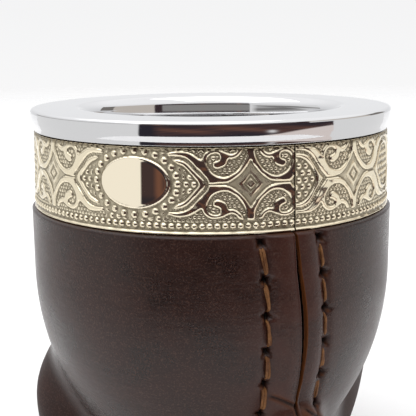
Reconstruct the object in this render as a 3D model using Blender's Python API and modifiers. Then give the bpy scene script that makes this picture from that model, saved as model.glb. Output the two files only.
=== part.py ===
"""A mate gourd: a dried calabash cup in a sewn leather cover, with a steel rim and an embossed band.

Metres, +Z up. The origin is the middle of the flat underside, on the axis of the bowl. The front is
towards -Y, and angles are counted from +X, so that the front is at -90 degrees. The cover is one
piece of leather: it hugs the gourd, and under the belly it stands out in three lobes that make the
foot. Its edges meet in a slit at the front right, with a row of stitches down each side.
"""

import math

import bmesh
import bpy

MM = 0.001

# Driving dimensions of the whole cup.
HEIGHT = 98.0 * MM
RIM_RADIUS = 45.0 * MM
MOUTH_RADIUS = 31.2 * MM
BAND_TOP = 92.5 * MM
BAND_BOTTOM = 74.3 * MM
CLEARANCE = 0.3 * MM

# The belly of the cover: straight down to its widest level, then half of an ellipse.
BELLY_RADIUS = 45.35 * MM
BELLY_LEVEL = 58.0 * MM
BELLY_DEPTH = 55.4 * MM
LEATHER = 2.0 * MM
GOURD_WALL = 5.0 * MM

# The foot: a short waist under the belly, and lobes that stand out of it.
WAIST_RADIUS = 32.5 * MM
WAIST_BLEND = 3.0 * MM
LOBE_BLEND = 2.0 * MM
LOBE_POWER = 2.6
FLOOR_ROUNDING = 3.0 * MM
# Each lobe: its angle, reach and widest level, the radius of its curve above that level, and its
# half widths in degrees at the top and at the floor.
LOBES = (
    {"angle": -62.4, "reach": 47.2, "level": 17.5, "curve": 18.5, "top_width": 8.0, "floor_width": 20.0},
    {"angle": 30.0, "reach": 47.5, "level": 22.8, "curve": 21.3, "top_width": 25.0, "floor_width": 23.6},
    {"angle": 176.9, "reach": 48.1, "level": 19.2, "curve": 23.2, "top_width": 15.9, "floor_width": 21.4},
)
LOBE_LOWER_CURVE = 32.0 * MM
LOBE_TOP = 36.0 * MM
LOBE_SPREAD = 30.0 * MM

# The seam. Its slit leans to the left towards the band, and raised strips lie on both sides of it.
SEAM_LOW = 33.0 * MM
SEAM_ANGLE = -62.4
SEAM_LEAN = 4.8
LEFT_STRIP = 9.8
LEFT_STRIP_GROWTH = 2.2
RIGHT_STRIP = 7.5
STRIP_RISE = 1.15 * MM
STITCH_VALLEY = 0.75 * MM
SLIT_SHARE = 0.055
SLIT_DEPTH = 1.5 * MM
STRIP_FADE = 12.0 * MM

# Stitches: their holes are one pitch apart, and each thread runs between two holes.
FIRST_HOLE = 72.3 * MM
STITCH_PITCH = 8.2 * MM
STITCH_LENGTH = 5.2 * MM
STITCH_COUNT = 5
THREAD_RADIUS = 0.55 * MM
THREAD_LIFT = 1.02 * MM

# The rim: flat on top, with a short skirt outside and a collar down the mouth.
RIM_SKIRT_RADIUS = 44.32 * MM
RIM_SKIRT_BOTTOM = 92.8 * MM
RIM_THICKNESS = 1.5 * MM
RIM_EDGE_ROUNDING = 0.6 * MM
LIP_ROUNDING = 2.0 * MM
COLLAR_THICKNESS = 1.2 * MM
COLLAR_BOTTOM = 84.0 * MM

# The band: a strip bent round and butted at the seam, with borders, stars and an oval plate.
BAND_INNER = 43.3 * MM
BAND_TOP_RADIUS = 43.95 * MM
BAND_BOTTOM_RADIUS = 44.45 * MM
BORDER_HEIGHT = 0.35 * MM
BORDER_WIDTH = 1.1 * MM
RELIEF_HEIGHT = 0.35 * MM
RELIEF_ROOT = 0.3 * MM
BAND_MIDDLE = 84.95 * MM
JOINT_ANGLE = -66.7
JOINT_GAP = 0.3 * MM
OVAL_ANGLE = -111.7
OVAL_HALF_WIDTH = 8.0 * MM
OVAL_HALF_HEIGHT = 5.6 * MM
STAR_HALF_WIDTH = 4.2 * MM
STAR_HALF_HEIGHT = 7.0 * MM
STAR_HOLLOW = 3.3
FRONT_STARS = (-144.1, -79.4)
FIRST_BACK_STAR = -44.6
STAR_SPACING = 43.42
BACK_STARS = 6


def clean_scene():
    """Remove what is in the scene, and give the collections for the parts and for the cutters."""
    for item in list(bpy.data.objects):
        bpy.data.objects.remove(item, do_unlink=True)
    parts = bpy.data.collections.new("mate_gourd")
    cutters = bpy.data.collections.new("cutters")
    bpy.context.scene.collection.children.link(parts)
    bpy.context.scene.collection.children.link(cutters)
    return parts, cutters


def make_material(name, colour, roughness, metallic=0.0):
    """A Principled BSDF with the colour and gloss of the real surface."""
    material = bpy.data.materials.new(name)
    material.use_nodes = True
    shader = material.node_tree.nodes["Principled BSDF"]
    shader.inputs["Base Color"].default_value = (*colour, 1.0)
    shader.inputs["Roughness"].default_value = roughness
    shader.inputs["Metallic"].default_value = metallic
    material.diffuse_color = (*colour, 1.0)
    return material


def place(angle, radius, z):
    """The point at an angle in degrees, a radius and a height."""
    turn = math.radians(angle)
    return (radius * math.cos(turn), radius * math.sin(turn), z)


def add_object(collection, name, mesh, material):
    item = bpy.data.objects.new(name, mesh)
    collection.objects.link(item)
    mesh.materials.append(material)
    return item


def turned(collection, name, profile, material, closed, steps):
    """Turn a profile of (radius, height) points round the Z axis."""
    mesh = bpy.data.meshes.new(name)
    edges = [(i, i + 1) for i in range(len(profile) - 1)]
    if closed:
        edges.append((len(profile) - 1, 0))
    mesh.from_pydata([(radius, 0.0, z) for radius, z in profile], edges, [])
    item = add_object(collection, name, mesh, material)
    screw = item.modifiers.new("turn", "SCREW")
    screw.axis = "Z"
    screw.steps = steps
    screw.render_steps = steps
    screw.use_merge_vertices = True
    screw.merge_threshold = 0.01 * MM
    screw.use_smooth_shade = True
    return item


def skin(rings):
    """Skin a stack of closed rings that have the same count, and close both ends."""
    shape = bmesh.new()
    rows = [[shape.verts.new(point) for point in ring] for ring in rings]
    count = len(rows[0])
    for row, following in zip(rows, rows[1:]):
        for i in range(count):
            after = (i + 1) % count
            shape.faces.new((row[i], following[i], following[after], row[after]))
    shape.faces.new(rows[0])
    shape.faces.new(reversed(rows[-1]))
    bmesh.ops.recalc_face_normals(shape, faces=shape.faces)
    return shape


def ellipse_radius(z, inset=0.0):
    """The radius of the belly at a height, or of the same shape further in."""
    drop = (BELLY_LEVEL - z) / (BELLY_DEPTH - inset)
    drop = min(max(drop, 0.0), 1.0)
    return (BELLY_RADIUS - inset) * math.sqrt(1.0 - drop * drop)


def seam_angle(z):
    rise = max(z - SEAM_LOW, 0.0) / (BAND_BOTTOM - SEAM_LOW)
    return SEAM_ANGLE - SEAM_LEAN * rise * rise


def strip_width(side, z):
    """The angle between the slit and the row of stitches on one side, -1 for left and 1 for right."""
    if side > 0:
        return RIGHT_STRIP
    fall = min(max((BAND_BOTTOM - z) / (BAND_BOTTOM - SEAM_LOW), 0.0), 1.0)
    return LEFT_STRIP + LEFT_STRIP_GROWTH * fall


def body_radius(z):
    """The belly with the waist under it, before the lobes stand out."""
    belly = ellipse_radius(z)
    difference = belly - WAIST_RADIUS
    return 0.5 * (belly + WAIST_RADIUS + math.sqrt(difference ** 2 + WAIST_BLEND ** 2))


def lobe_rise(lobe, angle, z):
    """How far one lobe stands out of the body, with a hollow where the two meet."""
    above = z - lobe["level"] * MM
    curve = lobe["curve"] * MM if above > 0.0 else LOBE_LOWER_CURVE
    ridge = lobe["reach"] * MM - above ** 2 / (2.0 * curve)
    excess = ridge - body_radius(z)
    excess = 0.5 * (excess + math.sqrt(excess ** 2 + LOBE_BLEND ** 2))
    spread = min(max((LOBE_TOP - z) / LOBE_SPREAD, 0.0), 1.0)
    width = lobe["top_width"] + (lobe["floor_width"] - lobe["top_width"]) * spread
    away = abs((angle - lobe["angle"] + 180.0) % 360.0 - 180.0)
    return excess * math.exp(-((away / width) ** LOBE_POWER))


def seam_relief(share, z):
    """The height of the raised strips: share is 0 at the slit and 1 at either row of stitches."""
    fade = min(max((z - SEAM_LOW + STRIP_FADE) / STRIP_FADE, 0.0), 1.0)
    if abs(share) <= SLIT_SHARE:
        return -SLIT_DEPTH * (0.5 + 0.5 * fade)
    strip = STRIP_RISE * math.exp(-(((abs(share) - 0.35) / 0.42) ** 2))
    valley = STITCH_VALLEY * math.exp(-(((abs(share) - 1.0) / 0.22) ** 2))
    return (strip - valley) * fade


def floor_rounding(z):
    """How much the wall draws in just above the floor."""
    rest = min(z / FLOOR_ROUNDING, 1.0)
    return FLOOR_ROUNDING * (1.0 - math.sqrt(1.0 - (1.0 - rest) ** 2))


def cover_radius(angle, share, z):
    """The outside of the leather cover at an angle and a height."""
    radius = body_radius(z) + sum(lobe_rise(lobe, angle, z) for lobe in LOBES)
    return radius + seam_relief(share, z) - floor_rounding(z)


def cover_columns():
    """The shares of a strip's width at which the seam is drawn, and the angles round the rest."""
    near = (0.05, 0.09, 0.22, 0.42, 0.62, 0.82, 1.0, 1.22, 1.6, 2.2)
    left = [-share for share in reversed(near)]
    seam = left + list(near)
    return seam, 50


def cover_ring(z, radius_at):
    """One ring of the cover. radius_at takes an angle, a share of the strip's width and a height."""
    seam, rest = cover_columns()
    middle = seam_angle(z)
    ring = []
    for share in seam:
        angle = middle + share * strip_width(share, z)
        ring.append(place(angle, radius_at(angle, share, z), z))
    first = middle + seam[-1] * strip_width(1, z)
    last = middle + seam[0] * strip_width(-1, z) + 360.0
    for i in range(1, rest):
        angle = first + (last - first) * i / rest
        ring.append(place(angle, radius_at(angle, seam[-1], z), z))
    return ring


def belly_levels(inset):
    """Heights down the inside of the belly, closer together where it curves in."""
    depth = BELLY_DEPTH - inset
    turns = (0.0, 12.0, 22.0, 32.0, 42.0, 52.0, 62.0, 71.0, 80.0)
    return [BELLY_LEVEL - depth * math.sin(math.radians(turn)) for turn in turns]


def make_cover(collection, leather):
    """The leather: from the middle of its inside up to the band, down outside, and across the floor."""
    top = BAND_BOTTOM - CLEARANCE

    def inner(angle, share, z):
        return ellipse_radius(z, LEATHER)

    def outer(angle, share, z):
        return cover_radius(angle, share, z)

    def top_edge(angle, share, z):
        return cover_radius(angle, share, z) - 0.5 * MM

    bottom = BELLY_LEVEL - (BELLY_DEPTH - LEATHER) * math.sin(math.radians(87.0))
    rings = [cover_ring(bottom, inner)]
    rings += [cover_ring(z, inner) for z in reversed(belly_levels(LEATHER))]
    rings += [cover_ring(top, inner), cover_ring(top, top_edge)]
    levels = (73.4, 68.5, 62.5, 56.5, 51.0, 46.0, 42.0, 39.0, 37.0, 35.0, 32.5, 29.5, 26.0, 22.0,
              17.5, 12.5, 7.5, 3.0, 1.1, 0.3, 0.0)
    rings += [cover_ring(level * MM, outer) for level in levels]
    rings.append(cover_ring(0.0, lambda angle, share, z: WAIST_RADIUS * 0.3))
    shape = skin(rings)
    mesh = bpy.data.meshes.new("leather_cover")
    shape.to_mesh(mesh)
    shape.free()
    mesh.shade_smooth()
    return add_object(collection, "leather_cover", mesh, leather)


def make_gourd(collection, shell):
    """The calabash cup: a bowl with a thick mouth that the rim's collar drops into."""
    outer_inset = LEATHER + CLEARANCE + 0.05 * MM
    inner_inset = outer_inset + GOURD_WALL
    bore = MOUTH_RADIUS + COLLAR_THICKNESS + CLEARANCE
    top = HEIGHT - RIM_THICKNESS - CLEARANCE
    shoulder_low = 68.0 * MM
    shoulder_high = COLLAR_BOTTOM - 2.0 * MM
    profile = [(0.0, BELLY_LEVEL - BELLY_DEPTH + inner_inset)]
    profile += [(ellipse_radius(z, inner_inset), z) for z in reversed(belly_levels(inner_inset))]
    belly = BELLY_RADIUS - inner_inset
    for step in range(5):
        turn = 0.5 - 0.5 * math.cos(math.pi * step / 4.0)
        height = shoulder_low + (shoulder_high - shoulder_low) * step / 4.0
        profile.append((belly + (bore - belly) * turn, height))
    outside = BELLY_RADIUS - outer_inset
    profile += [(bore, top), (outside, top)]
    profile += [(ellipse_radius(z, outer_inset), z) for z in belly_levels(outer_inset)]
    profile.append((0.0, BELLY_LEVEL - BELLY_DEPTH + outer_inset))
    return turned(collection, "gourd_shell", profile, shell, False, 48)


def make_rim(collection, steel):
    """The turned steel rim."""
    inside = BAND_INNER
    under = HEIGHT - RIM_THICKNESS
    collar = MOUTH_RADIUS + COLLAR_THICKNESS
    profile = [
        (RIM_SKIRT_RADIUS, RIM_SKIRT_BOTTOM),
        (inside, RIM_SKIRT_BOTTOM),
        (inside, under),
        (collar, under),
        (collar, COLLAR_BOTTOM),
        (MOUTH_RADIUS, COLLAR_BOTTOM),
    ]
    for step in range(5):
        turn = math.radians(90.0 * step / 4.0)
        across = MOUTH_RADIUS + LIP_ROUNDING * (1.0 - math.cos(turn))
        profile.append((across, HEIGHT - LIP_ROUNDING * (1.0 - math.sin(turn))))
    for step in range(4):
        turn = math.radians(90.0 * step / 3.0)
        across = RIM_RADIUS - RIM_EDGE_ROUNDING * (1.0 - math.sin(turn))
        profile.append((across, HEIGHT - RIM_EDGE_ROUNDING * (1.0 - math.cos(turn))))
    return turned(collection, "rim", profile, steel, True, 64)


def band_radius(z):
    """The plain ground of the band, which widens a little downwards."""
    fall = (BAND_TOP - z) / (BAND_TOP - BAND_BOTTOM)
    return BAND_TOP_RADIUS + (BAND_BOTTOM_RADIUS - BAND_TOP_RADIUS) * fall


def star_outline(turn):
    """A star with four points and hollow sides."""
    across = abs(math.cos(turn)) ** STAR_HOLLOW * STAR_HALF_WIDTH
    up = abs(math.sin(turn)) ** STAR_HOLLOW * STAR_HALF_HEIGHT
    return (math.copysign(across, math.cos(turn)), math.copysign(up, math.sin(turn)))


def oval_outline(turn):
    return (OVAL_HALF_WIDTH * math.cos(turn), OVAL_HALF_HEIGHT * math.sin(turn))


def raised_plate(angle, outline, count):
    """A plate on the band, bent to its curve, with its root sunk in the ground of the band."""

    def ring(share, height):
        points = []
        for i in range(count):
            across, up = outline(2.0 * math.pi * i / count)
            z = BAND_MIDDLE + up * share
            radius = band_radius(z) + height
            points.append(place(angle + math.degrees(across * share / radius), radius, z))
        return points

    rings = [ring(0.1, RELIEF_HEIGHT), ring(0.6, RELIEF_HEIGHT), ring(1.0, RELIEF_HEIGHT)]
    rings += [ring(1.0, -RELIEF_ROOT), ring(0.1, -RELIEF_ROOT)]
    return skin(rings)


def make_cutter(collection, name, shape):
    """A tool for a Boolean: drawn as wire and left out of the render."""
    mesh = bpy.data.meshes.new(name)
    shape.to_mesh(mesh)
    shape.free()
    item = bpy.data.objects.new(name, mesh)
    collection.objects.link(item)
    item.hide_render = True
    item.display_type = "WIRE"
    return item


def add_boolean(item, tool, operation):
    boolean = item.modifiers.new(tool.name, "BOOLEAN")
    boolean.operation = operation
    boolean.solver = "EXACT"
    boolean.object = tool


def make_band(collection, cutters, alloy):
    """The band: a bordered ring, its raised plates, and the butt joint that opens it."""
    border = BORDER_HEIGHT
    low = BAND_BOTTOM + BORDER_WIDTH
    high = BAND_TOP - BORDER_WIDTH * 0.6
    profile = [
        (band_radius(BAND_TOP) + border, BAND_TOP),
        (band_radius(high) + border, high),
        (band_radius(high), high - 0.2 * MM),
        (band_radius(low), low + 0.2 * MM),
        (band_radius(low) + border, low),
        (band_radius(BAND_BOTTOM) + border, BAND_BOTTOM),
        (BAND_INNER, BAND_BOTTOM),
        (BAND_INNER, BAND_TOP),
    ]
    band = turned(collection, "band", profile, alloy, True, 64)
    stars = list(FRONT_STARS) + [FIRST_BACK_STAR + STAR_SPACING * i for i in range(BACK_STARS)]
    for i, angle in enumerate(stars):
        plate = make_cutter(cutters, "star_%d" % (i + 1), raised_plate(angle, star_outline, 16))
        add_boolean(band, plate, "UNION")
    oval = make_cutter(cutters, "oval_plate", raised_plate(OVAL_ANGLE, oval_outline, 28))
    add_boolean(band, oval, "UNION")
    shape = bmesh.new()
    bmesh.ops.create_cube(shape, size=1.0)
    bmesh.ops.scale(shape, vec=(10.0 * MM, JOINT_GAP, 40.0 * MM), verts=shape.verts)
    joint = make_cutter(cutters, "butt_joint", shape)
    joint.location = place(JOINT_ANGLE, BAND_BOTTOM_RADIUS, BAND_MIDDLE)
    joint.rotation_euler = (0.0, 0.0, math.radians(JOINT_ANGLE))
    add_boolean(band, joint, "DIFFERENCE")
    return band


def make_stitch(collection, name, side, upper, lower, thread):
    """One visible run of thread, lying in the valley beside the strip."""
    count = 5
    curve = bpy.data.curves.new(name, "CURVE")
    curve.dimensions = "3D"
    curve.bevel_depth = THREAD_RADIUS
    curve.bevel_resolution = 2
    curve.use_fill_caps = True
    line = curve.splines.new("POLY")
    line.points.add(count - 1)
    for i in range(count):
        z = upper + (lower - upper) * i / (count - 1)
        angle = seam_angle(z) + side * strip_width(side, z)
        radius = cover_radius(angle, 1.0, z) + THREAD_LIFT
        line.points[i].co = (*place(angle, radius, z), 1.0)
    item = bpy.data.objects.new(name, curve)
    collection.objects.link(item)
    curve.materials.append(thread)
    return item


def make_stitches(collection, thread):
    """Both rows of stitches, from the band down to the foot."""
    inset = (STITCH_PITCH - STITCH_LENGTH) / 2.0
    for side, word in ((-1, "left"), (1, "right")):
        for i in range(STITCH_COUNT):
            upper = FIRST_HOLE - STITCH_PITCH * i - inset
            name = "stitch_%s_%d" % (word, i + 1)
            make_stitch(collection, name, side, upper, upper - STITCH_LENGTH, thread)


def build():
    parts, cutters = clean_scene()
    leather = make_material("dark_brown_leather", (0.045, 0.020, 0.014), 0.42)
    steel = make_material("polished_steel", (0.80, 0.80, 0.81), 0.08, 1.0)
    alloy = make_material("champagne_alloy", (0.80, 0.70, 0.52), 0.22, 1.0)
    shell = make_material("dried_gourd", (0.36, 0.22, 0.11), 0.75)
    thread = make_material("tan_thread", (0.42, 0.24, 0.11), 0.85)
    make_gourd(parts, shell)
    make_cover(parts, leather)
    make_band(parts, cutters, alloy)
    make_rim(parts, steel)
    make_stitches(parts, thread)


build()
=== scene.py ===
"""The finished look of a mate gourd: a calabash cup sewn into brown leather, with a steel rim and a
champagne-coloured embossed band. Metres, +Z up, the front towards -Y, angles in degrees from +X.
"""

import math

import bpy
import numpy as np
from mathutils import Euler, Matrix


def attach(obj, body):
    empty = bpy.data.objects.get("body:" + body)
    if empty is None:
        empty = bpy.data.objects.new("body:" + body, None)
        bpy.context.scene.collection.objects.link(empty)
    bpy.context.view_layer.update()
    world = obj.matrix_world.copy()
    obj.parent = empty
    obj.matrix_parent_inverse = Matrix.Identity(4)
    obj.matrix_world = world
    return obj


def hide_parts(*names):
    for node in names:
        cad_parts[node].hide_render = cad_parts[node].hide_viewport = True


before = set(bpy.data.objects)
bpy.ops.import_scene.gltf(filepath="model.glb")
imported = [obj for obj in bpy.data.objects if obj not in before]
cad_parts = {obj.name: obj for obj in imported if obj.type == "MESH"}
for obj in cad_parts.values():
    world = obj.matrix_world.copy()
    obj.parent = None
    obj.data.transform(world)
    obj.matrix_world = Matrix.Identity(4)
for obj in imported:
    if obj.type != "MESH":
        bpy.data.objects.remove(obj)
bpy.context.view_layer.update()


# The cup inside is a dried calabash: a woody shell about 5 mm thick that was cut open, scraped out
# and cured, so its inside is tan with fibres and darker stains. The leather and the rim hide its
# outside. It is turned here, with the slight unevenness of a grown thing.
MM = 0.001
GOURD_STEPS = 160
GOURD_LEVELS = 60
GOURD_UNEVENNESS = 0.25 * MM
SHOULDER_LOW = 68.0 * MM
SHOULDER_HIGH = 82.0 * MM
BELLY_RADIUS = 45.35 * MM
BELLY_LEVEL = 58.0 * MM
BELLY_DEPTH = 55.4 * MM
GOURD_OUTER_INSET = 2.35 * MM
GOURD_INNER_INSET = 7.35 * MM
GOURD_BORE = 32.7 * MM
GOURD_TOP = 96.2 * MM
GOURD_TAN = (0.30, 0.17, 0.075)
GOURD_STAIN = (0.11, 0.052, 0.022)


def loft(name, points, around, along):
    """A mesh through rows of points. Where it wraps round one way only, its two open ends are closed by one
    face each.
    """
    rows, columns = points.shape[:2]
    index = np.arange(rows * columns).reshape(rows, columns)
    wide = np.concatenate([index, index[:, :1]], axis=1) if around else index
    tall = np.concatenate([wide, wide[:1]], axis=0) if along else wide
    quads = np.stack([tall[:-1, :-1], tall[1:, :-1], tall[1:, 1:], tall[:-1, 1:]], axis=-1)
    faces = quads.reshape(-1, 4)
    flat = points.reshape(-1, 3)
    corners = flat[faces]
    turn = np.cross(corners[:, 1] - corners[:, 0], corners[:, 2] - corners[:, 0])
    middle = 0.0 if along else flat.mean(axis=0)
    inward = np.sum(turn * (corners[:, 0] - middle)) < 0.0
    caps = []
    if around and not along:
        caps = [list(reversed(index[0].tolist())), index[-1].tolist()]
    if along and not around:
        caps = [index[:, 0].tolist(), list(reversed(index[:, -1].tolist()))]
    everything = faces.tolist() + caps
    if inward:
        everything = [list(reversed(face)) for face in everything]
    mesh = bpy.data.meshes.new(name)
    mesh.from_pydata(flat.tolist(), [], everything)
    mesh.shade_smooth()
    piece = bpy.data.objects.new(name, mesh)
    bpy.context.scene.collection.objects.link(piece)
    return piece


def on_circle(angle, radius, z):
    """Points at an angle in degrees, a radius and a height."""
    turn = np.radians(angle)
    return np.stack([radius * np.cos(turn), radius * np.sin(turn), z + 0.0 * turn], axis=-1)


def turned(name, profile, steps, closed):
    """Turn a profile of (radius, height) rows round the Z axis."""
    angles = np.arange(steps) * 360.0 / steps
    rows = np.array(profile)
    points = on_circle(angles[None, :], rows[:, :1], rows[:, 1:])
    return loft(name, points, True, closed)


def belly_radius(z, inset):
    """The cup's round belly at a height, drawn in by an inset."""
    drop = np.clip((BELLY_LEVEL - z) / (BELLY_DEPTH - inset), 0.0, 1.0)
    return (BELLY_RADIUS - inset) * np.sqrt(1.0 - drop ** 2)


def gourd_profile():
    """Up the inside from the middle of the bowl, over the mouth, and down the outside."""
    turns = np.radians(np.linspace(1.0, 90.0, GOURD_LEVELS))
    inner_depth = BELLY_DEPTH - GOURD_INNER_INSET
    outer_depth = BELLY_DEPTH - GOURD_OUTER_INSET
    inner_z = BELLY_LEVEL - inner_depth * np.cos(turns)
    profile = [(belly_radius(z, GOURD_INNER_INSET), z) for z in inner_z]
    belly = BELLY_RADIUS - GOURD_INNER_INSET
    for share in np.linspace(0.0, 1.0, 16):
        blend = 0.5 - 0.5 * math.cos(math.pi * share)
        height = SHOULDER_LOW + (SHOULDER_HIGH - SHOULDER_LOW) * share
        profile.append((belly + (GOURD_BORE - belly) * blend, height))
    outside = BELLY_RADIUS - GOURD_OUTER_INSET
    profile += [(GOURD_BORE, GOURD_TOP), (outside, GOURD_TOP)]
    outer_z = BELLY_LEVEL - outer_depth * np.cos(turns[::-1])
    profile += [(belly_radius(z, GOURD_OUTER_INSET), z) for z in outer_z]
    return profile


def uneven(piece, amount, waves):
    """Push the points in and out by a few broad waves, as a grown or sewn surface has."""
    count = len(piece.data.vertices)
    flat = np.empty(count * 3)
    piece.data.vertices.foreach_get("co", flat)
    points = flat.reshape(-1, 3)
    angle = np.arctan2(points[:, 1], points[:, 0])
    push = np.zeros(count)
    for around, up, phase in waves:
        push += np.sin(around * angle + points[:, 2] * up / MM + phase)
    radius = np.hypot(points[:, 0], points[:, 1]).clip(10 * MM)
    scale = 1.0 - amount * (1.0 + push / len(waves)) / radius
    points[:, 0] *= scale
    points[:, 1] *= scale
    piece.data.vertices.foreach_set("co", points.ravel())


def make(tree, kind, inputs=None, **settings):
    """Add a node. A socket given as an input is linked, and anything else is set."""
    item = tree.nodes.new(kind)
    for key, value in settings.items():
        setattr(item, key, value)
    for key, value in (inputs or {}).items():
        if isinstance(value, bpy.types.NodeSocket):
            tree.links.new(value, item.inputs[key])
        else:
            item.inputs[key].default_value = value
    return item


def new_group(name, inputs, outputs):
    """A node group with named float sockets."""
    group = bpy.data.node_groups.new(name, "ShaderNodeTree")
    for label, start in inputs:
        socket = group.interface.new_socket(name=label, in_out="INPUT", socket_type="NodeSocketFloat")
        socket.default_value = start
    for label in outputs:
        group.interface.new_socket(name=label, in_out="OUTPUT", socket_type="NodeSocketFloat")
    return group, make(group, "NodeGroupInput"), make(group, "NodeGroupOutput")


def grain_group():
    """Natural grain: broad patches for the colour, and fine pores for the relief."""
    group, start, end = new_group("natural_grain", [("Patch Scale", 60.0), ("Pore Scale", 1500.0)],
                                  ["Patches", "Pores"])
    where = make(group, "ShaderNodeTexCoord").outputs["Object"]
    patches = make(group, "ShaderNodeTexNoise", {"Vector": where, "Scale": start.outputs["Patch Scale"],
                                                 "Detail": 5.0, "Roughness": 0.6})
    pores = make(group, "ShaderNodeTexVoronoi", {"Vector": where, "Scale": start.outputs["Pore Scale"]})
    rough = make(group, "ShaderNodeTexNoise", {"Vector": where, "Scale": start.outputs["Pore Scale"],
                                               "Detail": 3.0})
    both = make(group, "ShaderNodeMath", {0: pores.outputs["Distance"], 1: rough.outputs["Fac"]},
                operation="ADD")
    group.links.new(patches.outputs["Fac"], end.inputs["Patches"])
    group.links.new(both.outputs["Value"], end.inputs["Pores"])
    return group


natural_grain = grain_group()


def new_material(name):
    """A new material, its node tree and its shader."""
    material = bpy.data.materials.new(name)
    material.use_nodes = True
    return material, material.node_tree, material.node_tree.nodes["Principled BSDF"]


def mix_colours(tree, factor, first, second):
    """The first colour where the factor is 0 and the second where it is 1."""
    mixed = make(tree, "ShaderNodeMix", data_type="RGBA")
    for key, value in ((0, factor), (6, first), (7, second)):
        if isinstance(value, bpy.types.NodeSocket):
            tree.links.new(value, mixed.inputs[key])
        else:
            mixed.inputs[key].default_value = (*value, 1.0) if isinstance(value, tuple) else value
    return mixed.outputs[2]


def remap(tree, value, low, high, to_low=0.0, to_high=1.0):
    """Stretch one range of values onto another, and hold it at both ends."""
    changed = make(tree, "ShaderNodeMapRange", {"Value": value, "From Min": low, "From Max": high,
                                                "To Min": to_low, "To Max": to_high})
    return changed.outputs["Result"]


def gourd_material():
    """Tan woody shell with broad darker stains."""
    material, tree, shader = new_material("cured_calabash")
    grain = make(tree, "ShaderNodeGroup", node_tree=natural_grain)
    grain.inputs["Patch Scale"].default_value = 70.0
    grain.inputs["Pore Scale"].default_value = 900.0
    stain = remap(tree, grain.outputs["Patches"], 0.35, 0.7)
    tree.links.new(mix_colours(tree, stain, GOURD_TAN, GOURD_STAIN), shader.inputs["Base Color"])
    tree.links.new(remap(tree, grain.outputs["Patches"], 0.3, 0.7, 0.55, 0.8), shader.inputs["Roughness"])
    bump = make(tree, "ShaderNodeBump", {"Height": grain.outputs["Pores"], "Strength": 0.35,
                                         "Distance": 0.3 * MM})
    tree.links.new(bump.outputs["Normal"], shader.inputs["Normal"])
    return material


gourd = turned("calabash_cup", gourd_profile(), GOURD_STEPS, False)
uneven(gourd, GOURD_UNEVENNESS, ((3, 0.11, 0.4), (5, 0.07, 1.9), (8, 0.16, 3.0)))
gourd.data.materials.append(gourd_material())
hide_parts("gourd_shell")
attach(gourd, "root")


# The cover is one piece of thick brown leather, stretched wet over the cup. It stands out below in
# three lobes that make the foot, and its edges meet in a slit at the front right, where two bulging
# strips are held by stitches. The cut edge of the slit shows the raw, lighter hide.
LEATHER_TOP = 74.0 * MM
LEATHER_THICKNESS = 2.0 * MM
WAIST_RADIUS = 32.5 * MM
WAIST_BLEND = 3.0 * MM
LOBE_BLEND = 1.4 * MM
LOBE_POWER = 2.6
LOBE_LOWER_CURVE = 32.0 * MM
LOBE_TOP = 36.0 * MM
LOBE_SPREAD = 30.0 * MM
FLOOR_ROUNDING = 3.0 * MM
# Each lobe: angle, reach, widest level, curve above it, and half widths at the top and the floor.
LOBES = (
    (-62.4, 47.2, 17.5, 18.5, 8.0, 20.0),
    (30.0, 47.5, 22.8, 21.3, 25.0, 23.6),
    (176.9, 47.95, 19.2, 23.2, 15.9, 21.4),
)
SEAM_LOW = 33.0 * MM
SEAM_HIGH = 74.3 * MM
SEAM_ANGLE = -62.4
SEAM_LEAN = 4.8
LEFT_STRIP = 9.8
LEFT_STRIP_GROWTH = 2.2
RIGHT_STRIP = 7.5
STRIP_RISE = 1.15 * MM
STITCH_VALLEY = 0.75 * MM
STRIP_FADE = 12.0 * MM
SLIT_DEPTH = 1.7 * MM
SLIT_LIP = 0.45 * MM
SLIT_DRIFT = 0.9 * MM
SLIT_DRIFT_RUN = 9.0 * MM
FIRST_HOLE = 72.3 * MM
STITCH_PITCH = 8.2 * MM
STITCH_COUNT = 5
HOLE_DEPTH = 1.5 * MM
HOLE_RADIUS = 0.85 * MM
MM_PER_DEGREE = 0.79
CREASE_SCALE = (MM_PER_DEGREE, 1.0)
CREASE_TOP = 40.0 * MM
# Creases at the seam's foot: points of (degrees from the slit, height in mm), width and depth in mm.
CREASES = (
    (((-10.6, 36.3), (-7.5, 35.4), (-4.1, 33.9), (-1.8, 32.8)), 0.42, 0.7),
    (((-1.8, 33.4), (-1.5, 31.5), (-1.3, 29.3)), 0.42, 1.1),
    (((1.5, 31.9), (5.4, 29.6), (10.4, 27.0), (14.5, 24.6)), 0.45, 0.8),
)
HIDE_WARM = (0.062, 0.0195, 0.0125)
HIDE_BROWN = (0.0110, 0.0034, 0.0022)
HIDE_RED = (0.020, 0.0060, 0.0038)
# Painted sparkle: light specks that stand in for glints off the pores.
HIDE_PAINTED_SPARKLE = (0.070, 0.033, 0.023)
HIDE_RAW = (0.118, 0.037, 0.0095)
# Painted shade: near black, laid in the slit, the stitch holes and the creases.
HIDE_PAINTED_SHADE = (0.003, 0.002, 0.0015)


def seam_angle(z):
    """Where the slit stands at a height: it leans to the left towards its top."""
    rise = np.maximum(z - SEAM_LOW, 0.0) / (SEAM_HIGH - SEAM_LOW)
    return SEAM_ANGLE - SEAM_LEAN * rise ** 2


def strip_width(share, z):
    """Degrees between the slit and a row of stitches: a negative share is the left side."""
    fall = np.clip((SEAM_HIGH - z) / (SEAM_HIGH - SEAM_LOW), 0.0, 1.0)
    return np.where(share > 0.0, RIGHT_STRIP, LEFT_STRIP + LEFT_STRIP_GROWTH * fall)


def waisted_radius(z):
    """The belly, flowing below into the narrow waist that the lobes stand out from."""
    belly = belly_radius(z, 0.0)
    return 0.5 * (belly + WAIST_RADIUS + np.sqrt((belly - WAIST_RADIUS) ** 2 + WAIST_BLEND ** 2))


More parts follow.
